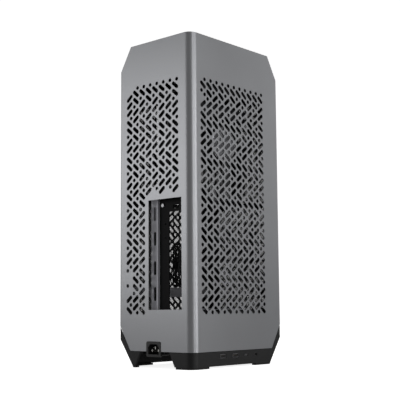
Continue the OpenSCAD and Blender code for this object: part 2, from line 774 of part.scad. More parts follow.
// round button in the front skirt, which is pushed in along +Y
module power_button() color("#8f9095") {
  translate([button_x, -half_d - 0.4, port_z - 3.5]) rotate([-90, 0, 0]) cylinder(d = button_d, h = 5.2);
  translate([button_x, -half_d + 4.8, port_z - 3.5]) rotate([-90, 0, 0]) cylinder(d = 5, h = 3);
}

module power_switch() color("#101112") {
  block([button_x - 6, -half_d + 11, port_z - 9.5], [12, 3.5, 12]);
  translate([button_x, -half_d + 9.9, port_z - 3.5]) rotate([-90, 0, 0]) cylinder(d = 3, h = 1.2);
}

// ---------- fasteners ----------

// pan-head screw pointing along -Z from the origin
module screw(d, h) {
  cylinder(d = 2 * d, h = 0.7 * d);
  translate([0, 0, -h]) cylinder(d = d, h = h);
}

module frame_screws() color("#6f7073") {
  for (y = [-75, 75], z = [8, 162]) translate([board_x - board_t - 0.05, y, board_z + z]) rotate([0, -90, 0])
    screw(3, 1.5);
  for (x = brace_screw_x) translate([x, plate_y + 0.05, 59]) rotate([-90, 0, 0]) screw(2.9, 5);
  translate([plate_stud_x, plate_y + 0.05, plate_stud_z]) rotate([-90, 0, 0]) screw(2.9, 5);
}

base_plinth();
foot_pads();
rear_shell();
front_shell();
top_cover();
rear_bend_post();
rear_seam_post();
front_bend_post();
front_seam_post();
shelf_plate();
fan_tray();
chassis_plate();
slot_rail();
cross_brace();
front_filter();
inlet_housing();
inlet_pins();
inlet_lead();
psu_case();
psu_grille();
psu_fan_rotor();
psu_rocker();
board_tray();
motherboard();
board_standoffs();
io_block();
vrm_heatsink();
ram_slots();
ram_module_a();
ram_module_b();
ram_latch_a();
ram_latch_b();
ssd_cooler();
power_plug();
card_slot();
cpu_package();
pump_block();
coolant_tubes();
radiator();
lower_fan_frame();
lower_fan_rotor();
upper_fan_frame();
upper_fan_rotor();
riser_ribbon();
riser_socket();
gpu_board();
gpu_fins();
gpu_shroud();
gpu_rotor_low();
gpu_rotor_high();
gpu_bracket();
power_cables();
cable_hank();
usb_sockets();
usb_c_socket();
audio_jack();
port_board();
power_button();
power_switch();
frame_screws();
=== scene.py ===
import math
import random

import bmesh
import bpy
from mathutils import Matrix, Vector


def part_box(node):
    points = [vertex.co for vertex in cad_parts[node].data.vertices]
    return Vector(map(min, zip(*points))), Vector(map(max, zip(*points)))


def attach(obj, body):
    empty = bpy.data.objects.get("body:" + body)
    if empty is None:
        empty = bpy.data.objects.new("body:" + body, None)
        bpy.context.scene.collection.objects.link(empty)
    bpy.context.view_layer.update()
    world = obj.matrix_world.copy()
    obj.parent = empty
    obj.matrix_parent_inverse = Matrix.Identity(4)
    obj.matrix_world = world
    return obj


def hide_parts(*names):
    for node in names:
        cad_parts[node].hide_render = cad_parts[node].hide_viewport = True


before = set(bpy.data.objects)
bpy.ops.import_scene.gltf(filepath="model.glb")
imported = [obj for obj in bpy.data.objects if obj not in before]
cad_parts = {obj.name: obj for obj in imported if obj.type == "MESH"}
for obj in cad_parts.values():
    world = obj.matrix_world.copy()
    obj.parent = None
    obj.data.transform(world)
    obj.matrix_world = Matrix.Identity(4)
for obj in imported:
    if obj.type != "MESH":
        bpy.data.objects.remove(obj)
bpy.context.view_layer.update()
MM = 0.001

# ---------- camera ----------
# The view a buyer gets of the rear corner: a long lens set low, about a metre and a half away,
# tipped up a little so that the whole tower stands in the frame.
scene = bpy.context.scene
camera_data = bpy.data.cameras.new("camera")
camera_data.sensor_width = 36
camera_data.lens = 80.35
camera_data.clip_end = 50
camera = bpy.data.objects.new("camera", camera_data)
scene.collection.objects.link(camera)
heading = math.radians(221.464)
pitch = math.radians(6.922)
roll = math.radians(-0.439)
camera.matrix_world = (
    Matrix.Translation((-1.0101, 1.1453, 0.0944))
    @ Matrix.Rotation(heading, 4, "Z")
    @ Matrix.Rotation(math.radians(90) + pitch, 4, "X")
    @ Matrix.Rotation(roll, 4, "Z")
)
scene.camera = camera

# ---------- floor, backdrop and lights ----------
# A pale painted floor that sweeps up into a pale wall, lit by six soft boxes. The tall ones
# beside the camera's line draw the bright stripes on the rounded corner.
scene.view_settings.view_transform = "Standard"


def new_object(name, mesh):
    thing = bpy.data.objects.new(name, mesh)
    scene.collection.objects.link(thing)
    return thing


def swept_floor(radius=6.0, bend=1.5, height=5.0):
    """A round floor whose rim turns up into a wall."""
    mesh = bpy.data.meshes.new("floor")
    form = bmesh.new()
    profile = [(0.0, 0.0), (radius, 0.0)]
    for step in range(1, 13):
        turn = math.radians(90 * step / 12)
        profile.append((radius + bend * math.sin(turn), bend * (1 - math.cos(turn))))
    profile.append((radius + bend, height))
    verts = [form.verts.new((r, 0, z)) for r, z in profile]
    edges = [form.edges.new(pair) for pair in zip(verts, verts[1:])]
    bmesh.ops.spin(
        form, geom=verts + edges, cent=(0, 0, 0), axis=(0, 0, 1), angle=2 * math.pi, steps=96
    )
    bmesh.ops.remove_doubles(form, verts=form.verts, dist=1e-5)
    bmesh.ops.recalc_face_normals(form, faces=form.faces)
    form.to_mesh(mesh)
    form.free()
    for face in mesh.polygons:
        face.use_smooth = True
    return new_object("floor", mesh)


def new_material(name):
    """A material with its shader and a short way to add and join nodes."""
    material = bpy.data.materials.new(name)
    material.use_nodes = True
    tree = material.node_tree
    shader = tree.nodes["Principled BSDF"]

    def node(kind, **values):
        made = tree.nodes.new(kind)
        for key, value in values.items():
            if key in made.inputs:
                made.inputs[key].default_value = value
            else:
                setattr(made, key, value)
        return made

    return material, shader, node, tree.links.new


floor = swept_floor()
floor_paint, shader, node, join = new_material("floor_paint")
shader.inputs["Base Color"].default_value = (0.9, 0.9, 0.9, 1)
shader.inputs["Roughness"].default_value = 0.8
shader.inputs["Specular IOR Level"].default_value = 0.1
shader.inputs["Emission Color"].default_value = (1, 1, 1, 1)
shader.inputs["Emission Strength"].default_value = 0.86
floor.data.materials.append(floor_paint)
floor.visible_glossy = False
floor.visible_diffuse = False


def soft_box(name, azimuth, elevation, distance, size, watts, aim=(0, 0, 0.27)):
    """An area light at a compass angle from the rear face's normal, positive towards -X."""
    lamp_data = bpy.data.lights.new(name, "AREA")
    lamp_data.shape = "RECTANGLE"
    lamp_data.size, lamp_data.size_y = size
    lamp_data.energy = watts
    lamp = bpy.data.objects.new(name, lamp_data)
    scene.collection.objects.link(lamp)
    turn, lift = math.radians(azimuth), math.radians(elevation)
    level = math.cos(lift)
    away = Vector((-math.sin(turn) * level, math.cos(turn) * level, math.sin(lift)))
    lamp.location = Vector(aim) + away * distance
    lamp.rotation_euler = away.to_track_quat("Z", "Y").to_euler()
    return lamp


soft_box("left_box", -32, 9, 2.4, (2.2, 1.0), 11.2)
soft_box("right_box", 112, 6, 2.4, (0.9, 1.5), 12)
soft_box("corner_box", 82, 9, 2.4, (0.9, 1.5), 9)
soft_box("top_box", 40, 78, 2.6, (1.6, 1.6), 7)
soft_box("far_box", -120, 15, 2.4, (1.6, 1.2), 9)
soft_box("front_box", 170, 15, 2.4, (1.6, 1.2), 9)

world = bpy.data.worlds.new("studio")
scene.world = world
world.use_nodes = True
world.node_tree.nodes["Background"].inputs["Color"].default_value = (1, 1, 1, 1)
world.node_tree.nodes["Background"].inputs["Strength"].default_value = 0.19

# ---------- plinth and feet ----------
# The plinth is one moulding in matte black plastic with a fine spark-eroded grain. The feet
# are die-cut rubber strips pressed into the underside.


def surface(name, colour, rough, metal=0.0, mottle=0.06, mottle_mm=18, grain=0.0, grain_mm=0.5,
            stretch=(1, 1, 1), shine=0.5):
    """A finish with slow colour drift, uneven gloss and a grain in relief, which stretch can draw
    out along an axis into brush marks."""
    material, shader, node, join = new_material(name)
    shader.inputs["Specular IOR Level"].default_value = shine
    place = node("ShaderNodeTexCoord")
    drift = node("ShaderNodeTexNoise", Scale=1 / (mottle_mm * MM), Detail=4.0)
    join(place.outputs["Object"], drift.inputs["Vector"])
    tint = node("ShaderNodeMix", data_type="RGBA")
    join(drift.outputs["Fac"], tint.inputs["Factor"])
    tint.inputs["A"].default_value = (*[c * (1 - mottle) for c in colour], 1)
    tint.inputs["B"].default_value = (*[c * (1 + mottle) for c in colour], 1)
    join(tint.outputs["Result"], shader.inputs["Base Color"])
    fine = node("ShaderNodeTexNoise", Scale=1 / (grain_mm * MM), Detail=3.0)
    drawn = node("ShaderNodeMapping")
    drawn.inputs["Scale"].default_value = stretch
    join(place.outputs["Object"], drawn.inputs["Vector"])
    join(drawn.outputs["Vector"], fine.inputs["Vector"])
    both = node("ShaderNodeMath", operation="ADD")
    join(drift.outputs["Fac"], both.inputs[0])
    join(fine.outputs["Fac"], both.inputs[1])
    gloss = node("ShaderNodeMapRange")
    gloss.inputs["From Max"].default_value = 2.0
    gloss.inputs["To Min"].default_value = max(rough - 0.07, 0.02)
    gloss.inputs["To Max"].default_value = rough + 0.07
    join(both.outputs["Value"], gloss.inputs["Value"])
    join(gloss.outputs["Result"], shader.inputs["Roughness"])
    shader.inputs["Metallic"].default_value = metal
    if grain:
        relief = node("ShaderNodeBump", Strength=1.0, Distance=grain * MM)
        join(fine.outputs["Fac"], relief.inputs["Height"])
        join(relief.outputs["Normal"], shader.inputs["Normal"])
    return material


def dress(material, *names):
    """Puts a finish on carried-over pieces."""
    for name in names:
        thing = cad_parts[name]
        if not thing.material_slots:
            thing.data.materials.append(material)
        for place in thing.material_slots:
            place.material = material


plinth_black = surface(
    "plinth_black", (0.009, 0.009, 0.0095), 0.46, grain=0.03, grain_mm=0.4, shine=0.35
)
foot_rubber = surface("foot_rubber", (0.010, 0.010, 0.010), 0.75, grain=0.05, grain_mm=0.8)
dress(plinth_black, "base_plinth")
dress(foot_rubber, "foot_pads")

# ---------- frame ----------
# Folded steel posts, shelf, trays and the plate behind the window, powder-coated black with an
# orange-peel skin and riveted together. The rail beside the plate is pale lacquered steel.
powder_black = surface("powder_black", (0.010, 0.010, 0.011), 0.5, grain=0.05, grain_mm=0.9)
plate_black = surface(
    "plate_black", (0.0065, 0.0065, 0.007), 0.6, grain=0.04, grain_mm=0.9, shine=0.12
)
brushed_steel = surface(
    "brushed_steel", (0.70, 0.70, 0.75), 0.45, metal=0.1, mottle=0.02, grain=0.006, grain_mm=0.25,
    stretch=(1, 1, 0.04),
)
grey_steel = surface("grey_steel", (0.26, 0.26, 0.28), 0.45, grain=0.04, grain_mm=0.7)
rivet_steel = surface("rivet_steel", (0.30, 0.30, 0.31), 0.35, metal=1.0, grain=0.01, grain_mm=0.4)
dress(powder_black, "rear_bend_post", "rear_seam_post", "front_bend_post", "front_seam_post",
      "shelf_plate", "fan_tray", "board_tray")
dress(plate_black, "chassis_plate")
dress(brushed_steel, "slot_rail", "gpu_bracket", "psu_grille")
dress(grey_steel, "cross_brace")


def facing(direction, at):
    """A placing matrix that turns local +Z to a direction and sets its foot at a point."""
    turn = Vector(direction).to_track_quat("Z", "Y").to_matrix().to_4x4()
    return Matrix.Translation(at) @ turn


def form_box(form, low, high, ease=0.0):
    """Adds a box between two corners, with its edges rounded by ease."""
    made = bmesh.ops.create_cube(form, size=1.0)["verts"]
    low, high = Vector(low), Vector(high)
    for vert in made:
        vert.co = Vector([low[i] + (vert.co[i] + 0.5) * (high[i] - low[i]) for i in range(3)])
    if ease:
        edges = list({edge for vert in made for edge in vert.link_edges})
        bmesh.ops.bevel(form, geom=edges, offset=ease, segments=2, profile=0.5, affect="EDGES")


def form_turned(form, profile, place, steps=24):
    """Adds a turned shape: (radius, height) points spun round the placing matrix's Z."""
    rings = []
    for radius, height in profile:
        angles = [2 * math.pi * step / steps for step in range(steps)]
        rings.append([
            form.verts.new(place @ Vector((radius * math.cos(a), radius * math.sin(a), height)))
            for a in angles
        ])
    for ring, above in zip(rings, rings[1:]):
        for i in range(steps):
            after = (i + 1) % steps
            form.faces.new((ring[i], ring[after], above[after], above[i]))
    form.faces.new(rings[0][::-1])
    form.faces.new(rings[-1])


def finish_piece(name, form, material, body, sharp=35):
    """Turns a mesh in the making into a piece that rides on a body."""
    bmesh.ops.recalc_face_normals(form, faces=form.faces)
    mesh = bpy.data.meshes.new(name)
    form.to_mesh(mesh)
    form.free()
    for face in mesh.polygons:
        face.use_smooth = True
    mesh.set_sharp_from_angle(angle=math.radians(sharp))
    mesh.materials.append(material)
    piece = new_object(name, mesh)
    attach(piece, body)
    return piece


def dome(radius, height):
    """The outline of a round rivet head, from its foot to its crown."""
    return [(radius * math.cos(math.radians(a)), height * math.sin(math.radians(a)))
            for a in (0, 25, 50, 72, 86)]


rivets = bmesh.new()
for post, away in (("rear_bend_post", (0, 1)), ("front_bend_post", (0, -1)),
                   ("rear_seam_post", (0, 1)), ("front_seam_post", (0, -1))):
    low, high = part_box(post)
    middle = (low.x + high.x) / 2
    face_y = high.y if away[1] > 0 else low.y
    for step in range(6):
        height = low.z + 20 * MM + (high.z - low.z - 40 * MM) * step / 5
        at = (middle, face_y, height)
        form_turned(rivets, dome(1.7 * MM, 0.7 * MM), facing((0, away[1], 0), at))
finish_piece("post_rivets", rivets, rivet_steel, "core")

# ---------- dust screens ----------
# Plain-woven black wire screens in thin borders, laid in against the shells: one behind the
# front face, and two behind the far side, the rear one of a closer weave.
screen_wire = surface("screen_wire", (0.012, 0.012, 0.013), 0.5, grain=0.02, grain_mm=0.3)


def form_screen(form, low, high, across, pitch, wire, border=4 * MM):
    """Adds a woven screen that fills a thin box; across is the axis along its short side."""
    thin = [axis for axis in (0, 1) if axis != across][0]
    middle = (low[thin] + high[thin]) / 2
    for axis, other in ((across, 2), (2, across)):
        count = int((high[other] - low[other] - 2 * border) / pitch)
        lift = 0.12 * MM if axis == 2 else -0.12 * MM
        for step in range(1, count):
            corner, opposite = low.copy(), high.copy()
            corner[thin], opposite[thin] = middle + lift - wire / 4, middle + lift + wire / 4
            corner[other] = low[other] + border + step * pitch - wire / 2
            opposite[other] = corner[other] + wire
            form_box(form, corner, opposite)
    for axis in (across, 2):
        for side in (0, 1):
            corner, opposite = low.copy(), high.copy()
            if side:
                corner[axis] = high[axis] - border
            else:
                opposite[axis] = low[axis] + border
            form_box(form, corner, opposite, 0.25 * MM)


screens = bmesh.new()
low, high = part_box("front_filter")
depth = 1.2 * MM
front_high = Vector((high.x - 8.1 * MM, low.y + depth, high.z))
form_screen(screens, low, front_high, 0, 1.1 * MM, 0.62 * MM)
side_low = Vector((high.x - depth, -96 * MM, low.z + 22 * MM))
for start, end, thickness in ((-96, 31.5, 0.38), (32, high.y / MM, 0.62)):
    side_low.y = start * MM
    side_high = Vector((high.x, end * MM, high.z))
    form_screen(screens, side_low, side_high, 1, 1.1 * MM, thickness * MM, 2 * MM)
dust_screens = finish_piece("dust_screens", screens, screen_wire, "core")
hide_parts("front_filter")

# ---------- mains inlet ----------
# A snap-in three-pin inlet in glossy black plastic with plated blades, and the short lead from
# its back to the supply.
inlet_black = surface("inlet_black", (0.020, 0.020, 0.020), 0.33, grain=0.015, grain_mm=0.5)
pin_metal = surface("pin_metal", (0.72, 0.71, 0.68), 0.24, metal=1.0, grain=0.005, grain_mm=0.3)
jacket = surface("jacket", (0.012, 0.012, 0.012), 0.45, grain=0.03, grain_mm=0.5)
dress(inlet_black, "inlet_housing")
dress(pin_metal, "inlet_pins")
dress(jacket, "inlet_lead")

# ---------- power supply ----------
# A small steel case in black paint with a wire fan guard on top, its fan, a rocker switch and
# four corner screws.
supply_paint = surface("supply_paint", (0.014, 0.014, 0.015), 0.45, grain=0.06, grain_mm=0.8)
fan_plastic = surface("fan_plastic", (0.020, 0.020, 0.022), 0.4, grain=0.015, grain_mm=0.5)
moulded_black = surface("moulded_black", (0.012, 0.012, 0.012), 0.42, grain=0.02, grain_mm=0.5)
dress(supply_paint, "psu_case")
dress(moulded_black, "psu_rocker", "power_plug", "card_slot", "riser_socket", "ram_slots",
      "audio_jack", "power_switch")
dress(fan_plastic, "psu_fan_rotor")


def form_pan_head(form, place, radius, height):
    """Adds a pan-head screw's head with a cross recess."""
    form_turned(form, [(radius, 0), (radius, height * 0.45), (radius * 0.86, height * 0.85),
                       (radius * 0.6, height), (radius * 0.55, height)], place, 20)
    arm, half = radius * 0.5, radius * 0.11
    for turn in (0, 90):
        spin = place @ Matrix.Rotation(math.radians(turn), 4, "Z")
        ends = [(-arm, -half), (arm, -half), (arm, half), (-arm, half)]
        top = [form.verts.new(spin @ Vector((x, y, height * 1.02))) for x, y in ends]
        foot = [form.verts.new(spin @ Vector((x * 0.8, y, height * 0.75))) for x, y in ends]
        for i in range(4):
            form.faces.new((top[i], top[(i + 1) % 4], foot[(i + 1) % 4], foot[i]))
        form.faces.new(foot)


supply_low, supply_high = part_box("psu_case")
supply_screws = bmesh.new()
for x in (supply_low.x + 5 * MM, supply_high.x - 5 * MM):
    for y in (supply_low.y + 5 * MM, supply_high.y - 5 * MM):
        form_pan_head(supply_screws, facing((0, 0, 1), (x, y, supply_high.z)), 2.8 * MM, 1.4 * MM)
finish_piece("supply_screws", supply_screws, rivet_steel, "core")


def form_hub_cap(form, place, radius):
    """Adds the dished cap and the shallow ring that finish a fan's hub."""
    form_turned(form, [(radius, 0), (radius, 0.3 * MM), (radius * 0.94, 0.55 * MM),
                       (radius * 0.8, 0.55 * MM), (radius * 0.78, 0.25 * MM),
                       (radius * 0.3, 0.2 * MM), (radius * 0.27, 0.45 * MM),
                       (radius * 0.1, 0.5 * MM)], place, 40)


def hub_cap(name, rotor, axis, body, radius):
    """A cap on the outer face of a rotor, along +axis."""
    low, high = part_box(rotor)
    at = (low + high) / 2
    at[axis] = high[axis]
    way = Vector((0, 0, 0))
    way[axis] = 1
    cap = bmesh.new()
    form_hub_cap(cap, facing(way, at), radius)
    return finish_piece(name, cap, cap_metal, body)


cap_metal = surface("cap_metal", (0.14, 0.14, 0.15), 0.35, metal=0.8, grain=0.01, grain_mm=0.3)
hub_cap("supply_fan_cap", "psu_fan_rotor", 2, "psu_fan", 13 * MM)

# ---------- board ----------
# A small square board on four brass standoffs, dark solder mask over copper tracks, with its
# coolers, sockets and memory. The tiny parts are reflowed onto the face towards -X.


def track_mask(name, mask, track):
    """Solder mask with the copper tracks showing through as slanting runs and round vias."""
    material, shader, node, join = new_material(name)
    place = node("ShaderNodeTexCoord")
    turned = node("ShaderNodeMapping")
    turned.inputs["Rotation"].default_value = (math.radians(45), 0, 0)
    join(place.outputs["Object"], turned.inputs["Vector"])
    runs = node("ShaderNodeTexWave", Scale=260.0, Distortion=0.0)
    runs.bands_direction = "Y"
    join(turned.outputs["Vector"], runs.inputs["Vector"])
    fields = node("ShaderNodeTexNoise", Scale=70.0, Detail=1.0)
    join(place.outputs["Object"], fields.inputs["Vector"])
    cut = node("ShaderNodeMath", operation="GREATER_THAN")
    cut.inputs[1].default_value = 0.52
    join(fields.outputs["Fac"], cut.inputs[0])
    ridge = node("ShaderNodeMath", operation="MULTIPLY")
    join(runs.outputs["Fac"], ridge.inputs[0])
    join(cut.outputs["Value"], ridge.inputs[1])
    vias = node("ShaderNodeTexVoronoi", Scale=330.0)
    join(place.outputs["Object"], vias.inputs["Vector"])
    ring = node("ShaderNodeMath", operation="LESS_THAN")
    ring.inputs[1].default_value = 0.14
    join(vias.outputs["Distance"], ring.inputs[0])
    high = node("ShaderNodeMath", operation="MAXIMUM")
    join(ridge.outputs["Value"], high.inputs[0])
    join(ring.outputs["Value"], high.inputs[1])
    tint = node("ShaderNodeMix", data_type="RGBA")
    tint.inputs["A"].default_value = (*mask, 1)
    tint.inputs["B"].default_value = (*track, 1)
    join(high.outputs["Value"], tint.inputs["Factor"])
    join(tint.outputs["Result"], shader.inputs["Base Color"])
    relief = node("ShaderNodeBump", Strength=1.0, Distance=0.03 * MM)
    join(high.outputs["Value"], relief.inputs["Height"])
    join(relief.outputs["Normal"], shader.inputs["Normal"])
    shader.inputs["Roughness"].default_value = 0.32
    return material


solder_mask = track_mask("solder_mask", (0.006, 0.011, 0.010), (0.030, 0.042, 0.034))
brass = surface("brass", (0.62, 0.46, 0.20), 0.3, metal=1.0, grain=0.01, grain_mm=0.3)
socket_metal = surface(
    "socket_metal", (0.42, 0.42, 0.43), 0.32, metal=1.0, grain=0.008, grain_mm=0.3
)
fin_metal = surface("fin_metal", (0.30, 0.30, 0.31), 0.38, metal=0.9, grain=0.01, grain_mm=0.25,
                    stretch=(1, 0.05, 1))
spreader = surface("spreader", (0.05, 0.05, 0.055), 0.4, metal=0.6, grain=0.01, grain_mm=0.25,
                   stretch=(1, 0.05, 1))
latch_white = surface("latch_white", (0.55, 0.55, 0.52), 0.45, grain=0.01, grain_mm=0.4)
lid_metal = surface("lid_metal", (0.55, 0.55, 0.56), 0.3, metal=1.0, grain=0.01, grain_mm=0.3)
chip_black = surface("chip_black", (0.010, 0.010, 0.011), 0.5, grain=0.015, grain_mm=0.3)
dress(solder_mask, "motherboard", "gpu_board", "port_board")
dress(brass, "board_standoffs")
dress(socket_metal, "io_block", "usb_sockets", "usb_c_socket")
dress(fin_metal, "vrm_heatsink", "ssd_cooler", "gpu_fins")
dress(spreader, "ram_module_a", "ram_module_b")
dress(latch_white, "ram_latch_a", "ram_latch_b")
dress(lid_metal, "cpu_package")

board_low, board_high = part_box("motherboard")
taken = []
for name in ("io_block", "vrm_heatsink", "ram_slots", "ram_module_a", "ram_module_b", "ssd_cooler",
             "power_plug", "card_slot", "pump_block", "ram_latch_a", "ram_latch_b"):
    low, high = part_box(name)
    taken.append((low.y - MM, low.z - MM, high.y + MM, high.z + MM))
for y in (-75 * MM, 75 * MM):
    for z in (board_low.z + 8 * MM, board_high.z - 8 * MM):
        taken.append((y - 5 * MM, z - 5 * MM, y + 5 * MM, z + 5 * MM))
draw = random.Random(11)


def free_spot(width, height):
    """A clear place on the board for a part of that size, or None after many tries."""
    for _ in range(60):
        y = draw.uniform(board_low.y + 2 * MM, board_high.y - 2 * MM - width)
        z = draw.uniform(board_low.z + 2 * MM, board_high.z - 2 * MM - height)
        if all(y + width < a or y > c or z + height < b or z > d for a, b, c, d in taken):
            taken.append((y - 0.4 * MM, z - 0.4 * MM, y + width + 0.4 * MM, z + height + 0.4 * MM))
            return y, z
    return None


face_x = board_low.x
chokes, chips, legs, cans, specks = (bmesh.new() for _ in range(5))
for _ in range(9):
    spot = free_spot(7 * MM, 7 * MM)
    if spot:
        y, z = spot
        form_box(chokes, (face_x - 5 * MM, y, z), (face_x, y + 7 * MM, z + 7 * MM), 0.6 * MM)
chip_sizes = [(14, 14), (11, 9), (9, 9), (7, 5), (7, 5), (5, 5), (6, 4), (5, 4), (4, 4)] * 2
for width, height in chip_sizes:
    spot = free_spot((width + 2) * MM, (height + 2) * MM)
    if not spot:
        continue
    y, z = spot[0] + MM, spot[1] + MM
    form_box(chips, (face_x - 1.5 * MM, y, z),
             (face_x - 0.3 * MM, y + width * MM, z + height * MM), 0.15 * MM)
    for step in range(int(width / 0.9)):
        leg = y + (0.4 + step * 0.9) * MM
        for edge in (z - 0.8 * MM, z + height * MM):
            form_box(legs, (face_x - 0.6 * MM, leg, edge),
                     (face_x, leg + 0.35 * MM, edge + 0.8 * MM))
for _ in range(14):
    spot = free_spot(6.4 * MM, 6.4 * MM)
    if spot:
        at = (face_x, spot[0] + 3.2 * MM, spot[1] + 3.2 * MM)
        form_turned(cans, [(3.1 * MM, 0), (3.1 * MM, 0.8 * MM), (2.8 * MM, 1.3 * MM),
                           (3.1 * MM, 1.8 * MM), (3.1 * MM, 6.6 * MM), (2.8 * MM, 7 * MM),
                           (2.3 * MM, 7 * MM), (2.2 * MM, 6.8 * MM)], facing((-1, 0, 0), at), 20)
for _ in range(150):
    spot = free_spot(1.6 * MM, 0.9 * MM)
    if spot:
        y, z = spot
        form_box(specks, (face_x - 0.5 * MM, y, z), (face_x, y + 1.6 * MM, z + 0.9 * MM))
ferrite = surface("ferrite", (0.05, 0.05, 0.055), 0.55, grain=0.04, grain_mm=0.5)
can_metal = surface("can_metal", (0.5, 0.5, 0.52), 0.3, metal=1.0, grain=0.005, grain_mm=0.3)
ceramic = surface("ceramic", (0.18, 0.13, 0.08), 0.4, mottle=0.3, mottle_mm=3)
finish_piece("board_chokes", chokes, ferrite, "core")
finish_piece("board_chips", chips, chip_black, "core")
finish_piece("chip_legs", legs, pin_metal, "core")
finish_piece("board_capacitors", cans, can_metal, "core")
finish_piece("board_specks", specks, ceramic, "core")

# ---------- pump, hoses and radiator ----------
# The pump sits on the processor's cold plate under a turned aluminium ring. Two ribbed rubber
# hoses with crimped collars climb to the radiator, whose folded fins show between its tubes.
hose_rubber = surface("hose_rubber", (0.012, 0.012, 0.012), 0.55, grain=0.12, grain_mm=1.6,
                      stretch=(0.1, 0.1, 1))
radiator_black = surface("radiator_black", (0.012, 0.012, 0.013), 0.45, grain=0.03, grain_mm=0.6)
fin_black = surface("fin_black", (0.045, 0.045, 0.048), 0.4, metal=0.5, grain=0.01, grain_mm=0.3)
ring_metal = surface("ring_metal", (0.40, 0.40, 0.42), 0.28, metal=1.0, grain=0.008, grain_mm=0.3)
dress(moulded_black, "pump_block")
dress(hose_rubber, "coolant_tubes")
dress(radiator_black, "radiator")

pump_low, pump_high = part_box("pump_block")
pump_middle = (pump_low + pump_high) / 2
pump_at = (pump_low.x, 10 * MM, pump_middle.z)
ring = bmesh.new()
ring_outline = [(29.5 * MM, 0), (29.5 * MM, 0.5 * MM), (28.7 * MM, 0.9 * MM), (25.2 * MM, 0.9 * MM),
                (24.6 * MM, 0.3 * MM), (12 * MM, 0.25 * MM), (11.6 * MM, 0.6 * MM),
                (2 * MM, 0.7 * MM)]
form_turned(ring, ring_outline, facing((-1, 0, 0), pump_at), 64)
finish_piece("pump_ring", ring, ring_metal, "core")

tube_low, tube_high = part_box("coolant_tubes")
collars = bmesh.new()
tube_radius = 5.5 * MM
for x in (tube_low.x + tube_radius, tube_high.x - tube_radius):
    at = (x, tube_high.y - tube_radius, tube_high.z - 16 * MM)
    form_turned(collars, [(5.6 * MM, 0), (6.2 * MM, 0.4 * MM), (6.2 * MM, 3 * MM),
                          (5.9 * MM, 3.4 * MM), (5.9 * MM, 4.6 * MM), (6.2 * MM, 5 * MM),
                          (6.2 * MM, 9.5 * MM), (5.6 * MM, 10 * MM)], facing((0, 0, 1), at), 28)
finish_piece("hose_collars", collars, ring_metal, "core")

radiator_low, radiator_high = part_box("radiator")
folds = bmesh.new()
channel, rib, depth = 8.6 * MM, 2.4 * MM, 1.4 * MM
for index in range(10):
    x = radiator_low.x + 6 * MM + index * (channel + rib)
    for side in (radiator_low.z, radiator_high.z - depth):
        for step in range(55):
            y = -55.5 * MM + step * 2.05 * MM
            form_box(folds, (x, y, side), (x + channel, y + 0.35 * MM, side + depth))
finish_piece("radiator_fins", folds, fin_black, "core")

# ---------- fans ----------
# Two square moulded fans, one blowing up into the radiator and one drawing out of it. The
# upper rotor has a dished cap, and each motor has a thin sleeved lead towards one corner.
dress(fan_plastic, "lower_fan_frame", "lower_fan_rotor", "upper_fan_frame", "upper_fan_rotor")
hub_cap("upper_fan_cap", "upper_fan_rotor", 2, "upper_fan", 17 * MM)


def wire(name, points, radius, material, body, slot, closed=False):
    """A round wire along a smooth curve through a list of points."""
    curve = bpy.data.curves.new(name, "CURVE")
    curve.dimensions = "3D"
    curve.bevel_depth = radius
    curve.bevel_resolution = 2
    curve.resolution_u = 3
    curve.use_fill_caps = True
    runs = points if isinstance(points[0], list) else [points]
    for run in runs:
        spline = curve.splines.new("NURBS")
        spline.points.add(len(run) - 1)
        for place, point in zip(spline.points, run):
            place.co = (*point, 1)
        spline.order_u = 4
        spline.use_endpoint_u = not closed
        spline.use_cyclic_u = closed
    curve.materials.append(material)
    piece = new_object(name, curve)
    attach(piece, body)
    return piece


lead_sleeve = surface("lead_sleeve", (0.014, 0.014, 0.015), 0.5, grain=0.05, grain_mm=0.5)
for name, height in (("lower_fan_lead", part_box("lower_fan_frame")[1].z - 2.9 * MM),
                     ("upper_fan_lead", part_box("upper_fan_frame")[0].z + 2.9 * MM)):
    reach = [Vector((step, step, height / MM)) * MM for step in (15, 22, 30, 36, 39.5)]
    wire(name, reach, 0.35 * MM, lead_sleeve, "core", "cable_jacket")

# ---------- graphics card ----------
# A short card on its own tray: a board, a stack of thin fins on plated heat pipes, and a
# moulded shroud with two fans that face the side of the case.
dress(moulded_black, "gpu_shroud")
dress(fan_plastic, "gpu_rotor_low", "gpu_rotor_high")
dress(jacket, "riser_ribbon")
hub_cap("low_card_fan_cap", "gpu_rotor_low", 0, "card_fan_low", 12 * MM)
hub_cap("high_card_fan_cap", "gpu_rotor_high", 0, "card_fan_high", 12 * MM)

fins_low, fins_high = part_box("gpu_fins")
pipe_metal = surface("pipe_metal", (0.42, 0.40, 0.38), 0.3, metal=1.0, grain=0.01, grain_mm=0.4)
pipes = []
for index in range(3):
    x = fins_low.x + (8 + index * 4.6) * MM
    out = fins_high.y + 1.6 * MM
    rise = (10 + index * 4) * MM
    foot = [(9, 0), (3, 0), (0, 4), (0, 20)]
    up = [Vector((x, out - back * MM, fins_low.z + rise + lift * MM)) for back, lift in foot]
    down = [Vector((x, out - back * MM, fins_high.z - rise - lift * MM)) for back, lift in foot]
    pipes.append(up + down[::-1])
wire("heat_pipes", pipes, 1.9 * MM, pipe_metal, "core", "heatsink_metal")

shroud_low, shroud_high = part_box("gpu_shroud")
trim = bmesh.new()
for y in (shroud_low.y + 4 * MM, shroud_high.y - 7 * MM):
    for step in range(12):
        z = shroud_low.z + (6 + step * 12.2) * MM
        form_box(trim, (shroud_high.x - 0.2 * MM, y, z),
                 (shroud_high.x + 0.5 * MM, y + 3 * MM, z + 9 * MM), 0.3 * MM)
finish_piece("shroud_ribs", trim, moulded_black, "core")

